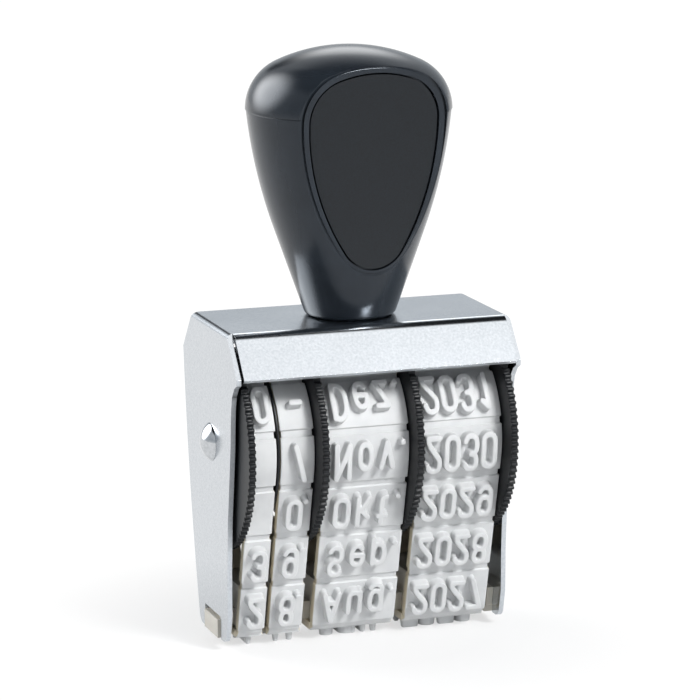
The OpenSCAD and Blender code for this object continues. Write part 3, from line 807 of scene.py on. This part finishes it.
rubber_rough = add_node(rubber_tree, "ShaderNodeMapRange", {
    "Value": rubber_bloom.outputs["Fac"], "To Min": 0.5, "To Max": 0.65,
})
rubber_tree.links.new(rubber_rough.outputs["Result"], rubber_skin.inputs["Roughness"])
rubber_bump = add_node(rubber_tree, "ShaderNodeBump", {
    "Height": rubber_pits.outputs["Fac"], "Strength": 0.12, "Distance": 0.03 * mm,
})
rubber_tree.links.new(rubber_bump.outputs["Normal"], rubber_skin.inputs["Normal"])

tens_words = ["1", "2", "3", "", "", "0", "1", "2", "3", "", "", "0", ""]
units_words = ["7.", "8.", "9.", "0.", "/", "-", "", "1.", "2.", "3.", "4.", "5.", "6."]
month_words = ["Jul.", "Aug.", "Sep.", "Okt.", "Nov.", "Dez.", ""]
month_words += ["Jan.", "Feb.", "Mrz.", "Apr.", "Mai", "Jun."]
year_words = [str(2026 + place) for place in range(12)] + [""]
for node, words, gap, creep, shift in (
    ("tens_band", tens_words, 0.6, 0.6, 0),
    ("units_band", units_words, 0.75, 0.6, 0),
    ("month_band", month_words, 1.5, 0.25, 0),
    ("year_band", year_words, 1.05, 0.25, -0.35),
):
    low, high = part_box(node)
    strip = band_strip(node + "_finished", low.x / mm, high.x / mm, creep)
    bpy.ops.object.shade_smooth_by_angle(angle=math.radians(35))
    set_type(strip, words, gap, (low.x + high.x) / 2 / mm + shift, creep)
    stand_for(strip, node, rubber)
for figure in made_figures.values():
    bpy.data.objects.remove(figure)

# Platen: a cream moulded bar with a pad for each band to turn under. The lugs on its end cheeks snap
# into the notches at the foot of the side plates.
cream, cream_tree, cream_skin = new_material("cream moulded acetal")
# Acetal: a waxy cream with a low soft sheen and slight clouds from the flow in the mould.
cream_skin.inputs["Subsurface Weight"].default_value = 0.08
cream_skin.inputs["Subsurface Radius"].default_value = (0.8 * mm, 0.6 * mm, 0.4 * mm)
cream_place = add_node(cream_tree, "ShaderNodeTexCoord")
cream_flow = add_node(cream_tree, "ShaderNodeTexNoise", {
    "Vector": cream_place.outputs["Object"], "Scale": 1 / (3 * mm), "Detail": 3.0,
})
cream_tint = add_node(cream_tree, "ShaderNodeValToRGB", {"Fac": cream_flow.outputs["Fac"]})
shade_steps(cream_tint, [(0.3, "#b1ada3"), (0.7, "#bcb8af")])
cream_tree.links.new(cream_tint.outputs["Color"], cream_skin.inputs["Base Color"])
cream_rough = add_node(cream_tree, "ShaderNodeMapRange", {
    "Value": cream_flow.outputs["Fac"], "To Min": 0.35, "To Max": 0.48,
})
cream_tree.links.new(cream_rough.outputs["Result"], cream_skin.inputs["Roughness"])

platen_edge = 0.1
block = from_solid("platen")
round_edges(block, platen_edge)
stand_for(block, "platen", cream)

# Grip: a moulding in glossy black, a barrel on a cone with a shallow hollow face in front and behind.
# A domed cap is pressed on at the seam. The grip sits on its screw with a slight turn to the right.
frame_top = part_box("frame")[1].z / mm
grip_r = 14.6
grip_turn = Matrix.Rotation(math.radians(4.3), 3, "Z")
seam_h = 29.6
cap_h = 9.0
shoulder_r = 7.4
grip_lean = math.radians(5.7)
neck_lean = math.radians(19.3)
grip_curve_r = 73.5
neck_round = 1.0
face_y = 8.8
face_z = 16.6
face_r = 145.0
seam_step = 0.12
seam_round = 0.1
face_soft = 0.22
seam_lap = 1.5
least_crease = math.radians(6)
cap_r = grip_r + seam_step
face_columns = 18
side_columns = 20


def arc(x, y, r, start, end, count):
    """Points on an arc from one angle to another, in radians."""
    steps = [start + (end - start) * step / count for step in range(count + 1)]
    return [(x + r * math.cos(angle), y + r * math.sin(angle)) for angle in steps]


def face_at(height):
    """How far the hollow face is from the middle of the grip at a height above the frame."""
    return face_y + face_r - math.sqrt(face_r ** 2 - (height - face_z) ** 2)


def grip_point(r, height, column):
    """A point on one ring of the grip: a circle cut in front and behind, with softened creases."""
    flat = face_at(height)
    crease = max(least_crease, math.acos(min(1, flat / max(r, 0.001))))
    quarter = [crease * math.sin(math.pi / 2 * step / face_columns) for step in range(face_columns)]
    spread = math.pi / 2 - crease
    quarter += [
        crease + spread * (1 - math.cos(math.pi / 2 * step / side_columns))
        for step in range(side_columns)
    ]
    count = face_columns + side_columns
    part, step = divmod(column % (4 * count), count)
    if part % 2 == 0:
        angle = part * math.pi / 2 + quarter[step]
    else:
        angle = (part + 1) * math.pi / 2 - (quarter[count - step] if step else math.pi / 2)
    x = r * math.sin(angle)
    depth = r * math.cos(angle)
    reach = abs(depth)
    if reach > flat / 2:
        reach = (reach + flat - math.sqrt((reach - flat) ** 2 + face_soft ** 2)) / 2
    return grip_turn @ Vector((x, -math.copysign(reach, depth), frame_top + height)) * mm


def turned_grip(name, section):
    """A closed skin through the rings of a section, a list of radius and height."""
    rings = len(section) - 1
    return laid_grid(
        name, 4 * (face_columns + side_columns), rings,
        lambda column, row: grip_point(section[row][0], section[row][1], column),
    )


curve_x = grip_r - grip_curve_r * math.cos(grip_lean)
curve_z = seam_h + grip_curve_r * math.sin(grip_lean)
low_x = curve_x + grip_curve_r * math.cos(neck_lean)
low_z = curve_z - grip_curve_r * math.sin(neck_lean)
neck_r = low_x - low_z * math.tan(neck_lean)
round_x = neck_r - neck_round * math.tan(math.pi / 4 - neck_lean / 2)
body_section = [(0, 0), (round_x * 0.6, 0)]
body_section += arc(round_x, neck_round, neck_round, -math.pi / 2, -neck_lean, 8)
cone_start = body_section[-1]
for step in range(1, 16):
    share = step / 16
    body_section.append((
        cone_start[0] + (low_x - cone_start[0]) * share,
        cone_start[1] + (low_z - cone_start[1]) * share,
    ))
barrel_end = -grip_lean - seam_round / grip_curve_r
body_section += arc(curve_x, curve_z, grip_curve_r, -neck_lean, barrel_end, 64)
edge_x = body_section[-1][0]
body_section += arc(edge_x - seam_round, seam_h - seam_round, seam_round, 0, math.pi / 2, 4)
body_section += [(edge_x - seam_lap, seam_h), (0, seam_h)]
crown_r = ((cap_r - shoulder_r) ** 2 + cap_h ** 2 - shoulder_r ** 2) / (2 * (cap_h - shoulder_r))
crown_turn = math.atan2(crown_r - cap_h, cap_r - shoulder_r)
cap_section = [(0, seam_h), (cap_r - seam_lap, seam_h)]
cap_section += arc(cap_r - seam_round, seam_h + seam_round, seam_round, -math.pi / 2, 0, 4)
cap_section += arc(cap_r - shoulder_r, seam_h, shoulder_r, seam_round / shoulder_r, crown_turn, 48)
cap_section += arc(0, seam_h + cap_h - crown_r, crown_r, crown_turn, math.pi / 2, 40)[1:]

# Front panel: a thin moulded plate, finely grained and matt, glued into a recess in the front of the
# grip. Its outline is an egg of arcs that run into each other, and it follows the hollow face.
# A fine line is moulded into the grip round it. Both parts of the grip are cut to take the panel.
panel_w = 19.3
panel_wide_z = 28.75
panel_crown_r = 17.5
panel_corner_r = 6.2
panel_side_r = 34.5
panel_low_r = 5.0
panel_low_z = 12.9
panel_t = 0.8
panel_sink = 0.15
panel_gap = 0.15
panel_glue = 0.05
panel_edge = 0.1
panel_shy = 0.04
recess_ease = 0.08
recess_reach = 8.0
line_out = 1.25
line_w = 0.42
line_depth = 0.45
line_reach = 0.5
line_squeeze = 0.45
upper_c = Vector((panel_w / 2 - panel_corner_r, panel_wide_z))
crown_far = panel_crown_r - panel_corner_r
crown_c = Vector((0, panel_wide_z - math.sqrt(crown_far ** 2 - upper_c.x ** 2)))
low_c = Vector((0, panel_low_z))
upper_far = panel_side_r - panel_corner_r
low_far = panel_side_r - panel_low_r
span = low_c - upper_c
foot = (upper_far ** 2 - low_far ** 2 + span.length_squared) / (2 * span.length)
off = math.sqrt(upper_far ** 2 - foot ** 2)
side_c = upper_c + (foot * span + off * Vector((span.y, -span.x))) / span.length


def panel_half_width(height, grow):
    """Half the width of the panel's outline at a height above the frame."""
    crown_foot = crown_c.y + (upper_c.y - crown_c.y) * (panel_crown_r + grow) / crown_far
    side_top = side_c.y + (upper_c.y - side_c.y) * (panel_side_r + grow) / upper_far
    side_foot = side_c.y + (low_c.y - side_c.y) * (panel_side_r + grow) / low_far
    if height > crown_foot:
        center, r = crown_c, panel_crown_r + grow
    elif height > side_top:
        center, r = upper_c, panel_corner_r + grow
    elif height > side_foot:
        center, r = side_c, panel_side_r + grow
    else:
        center, r = low_c, panel_low_r + grow
    return center.x + math.sqrt(max(0, r ** 2 - (height - center.y) ** 2))


def panel_slab(name, grow, front, back):
    """A closed slab with the panel's outline, between two depths under the hollow face."""
    columns, rows = 24, 96
    low = panel_low_z - panel_low_r - grow
    high = crown_c.y + panel_crown_r + grow

    def place(column, row):
        height = low + (high - low) * (1 - math.cos(math.pi * row / rows)) / 2
        half = panel_half_width(height, grow)
        around = column % (2 * columns + 2)
        if around <= columns:
            share, depth = 2 * around / columns - 1, front
        else:
            share, depth = 1 - 2 * (around - columns - 1) / columns, back
        return grip_turn @ Vector((half * share, depth - face_at(height), frame_top + height)) * mm

    return laid_grid(name, 2 * columns + 2, rows, place)


def panel_line(name, grow, width, depth, squeeze):
    """A closed cord with a square section that runs round the panel, to cut a fine line beside it."""
    inner = grow - width / 2
    outer = grow + width / 2
    section = [(inner, -line_reach), (outer, -line_reach), (outer, depth), (inner, depth)]
    around = 240

    def place(column, row):
        edge, deep = section[row % 4]
        turn = 2 * math.pi * (column % around) / around
        rise = (1 - math.cos(turn)) / 2
        low = panel_low_z - panel_low_r - edge + squeeze
        high = crown_c.y + panel_crown_r + edge
        height = low + (high - low) * rise
        half = panel_half_width(height, edge - squeeze * (1 - rise) ** 2)
        side = math.copysign(half, math.sin(turn))
        return grip_turn @ Vector((side, deep - face_at(height), frame_top + height)) * mm

    return laid_grid(name, around, 4, place)


# Glossy ABS: black with clear reflections, softened by a faint waviness of the moulded skin.
gloss, gloss_tree, gloss_skin = new_material("glossy black moulded ABS")
gloss_skin.inputs["IOR"].default_value = 1.47
gloss_skin.inputs["Specular Tint"].default_value = linear("#e3ebf5")
gloss_place = add_node(gloss_tree, "ShaderNodeTexCoord")
gloss_wave = add_node(gloss_tree, "ShaderNodeTexNoise", {
    "Vector": gloss_place.outputs["Object"], "Scale": 1 / (6 * mm), "Detail": 2.0,
})
gloss_tint = add_node(gloss_tree, "ShaderNodeValToRGB", {"Fac": gloss_wave.outputs["Fac"]})
shade_steps(gloss_tint, [(0.3, "#191d22"), (0.7, "#1f242a")])
gloss_tree.links.new(gloss_tint.outputs["Color"], gloss_skin.inputs["Base Color"])
gloss_rough = add_node(gloss_tree, "ShaderNodeMapRange", {
    "Value": gloss_wave.outputs["Fac"], "To Min": 0.16, "To Max": 0.21,
})
gloss_tree.links.new(gloss_rough.outputs["Result"], gloss_skin.inputs["Roughness"])

recess_back = panel_sink + panel_t + panel_glue
recess = panel_slab("panel_recess", panel_gap + recess_ease, -recess_reach, recess_back)
border = panel_line("panel_border", line_out, line_w, line_depth, line_squeeze)
for node, section in (("handle_body", body_section), ("handle_cap", cap_section)):
    shell = turned_grip(node + "_finished", section)
    carve(shell, recess)
    carve(shell, border)
    bpy.ops.object.shade_smooth_by_angle(angle=math.radians(40))
    stand_for(shell, node, gloss)
bpy.data.objects.remove(recess)
bpy.data.objects.remove(border)

# The panel's mould was eroded: a dark grey with a fine even grain that breaks up the light.
grained, grained_tree, grained_skin = new_material("dark grained ABS")
grained_place = add_node(grained_tree, "ShaderNodeTexCoord")
grained_grit = add_node(grained_tree, "ShaderNodeTexNoise", {
    "Vector": grained_place.outputs["Object"], "Scale": 1 / (0.22 * mm), "Detail": 2.0,
})
grained_tint = add_node(grained_tree, "ShaderNodeValToRGB", {"Fac": grained_grit.outputs["Fac"]})
shade_steps(grained_tint, [(0.3, "#0e1115"), (0.7, "#151a1f")])
grained_tree.links.new(grained_tint.outputs["Color"], grained_skin.inputs["Base Color"])
grained_skin.inputs["Specular IOR Level"].default_value = 0.3
grained_rough = add_node(grained_tree, "ShaderNodeMapRange", {
    "Value": grained_grit.outputs["Fac"], "To Min": 0.5, "To Max": 0.65,
})
grained_tree.links.new(grained_rough.outputs["Result"], grained_skin.inputs["Roughness"])
grained_bump = add_node(grained_tree, "ShaderNodeBump", {
    "Height": grained_grit.outputs["Fac"], "Strength": 0.25, "Distance": 0.02 * mm,
})
grained_tree.links.new(grained_bump.outputs["Normal"], grained_skin.inputs["Normal"])

panel = panel_slab("front_panel_finished", -panel_shy, panel_sink, panel_sink + panel_t)
round_edges(panel, panel_edge, limit=60)
stand_for(panel, "front_panel", grained)

# Screw and washer: a zinc plated machine screw with a toothed washer under its head, driven up through
# the top of the frame into the boss of the grip.
zinc, zinc_tree, zinc_skin = new_material("zinc plated steel")
# Zinc plate: a dull silver with a cloudy passivated film.
zinc_skin.inputs["Metallic"].default_value = 1.0
zinc_place = add_node(zinc_tree, "ShaderNodeTexCoord")
zinc_film = add_node(zinc_tree, "ShaderNodeTexNoise", {
    "Vector": zinc_place.outputs["Object"], "Scale": 1 / (1.2 * mm), "Detail": 3.0,
})
zinc_tint = add_node(zinc_tree, "ShaderNodeValToRGB", {"Fac": zinc_film.outputs["Fac"]})
shade_steps(zinc_tint, [(0.3, "#a9aeb2"), (0.7, "#c0c4c6")])
zinc_tree.links.new(zinc_tint.outputs["Color"], zinc_skin.inputs["Base Color"])
zinc_rough = add_node(zinc_tree, "ShaderNodeMapRange", {
    "Value": zinc_film.outputs["Fac"], "To Min": 0.28, "To Max": 0.42,
})
zinc_tree.links.new(zinc_rough.outputs["Result"], zinc_skin.inputs["Roughness"])

screw_edge = 0.06
for node in ("handle_screw", "lock_washer"):
    piece = from_solid(node)
    round_edges(piece, screw_edge)
    stand_for(piece, node, zinc)

# Size: the box of the finished stamp; the box of the solids was taken at the start.
low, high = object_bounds()
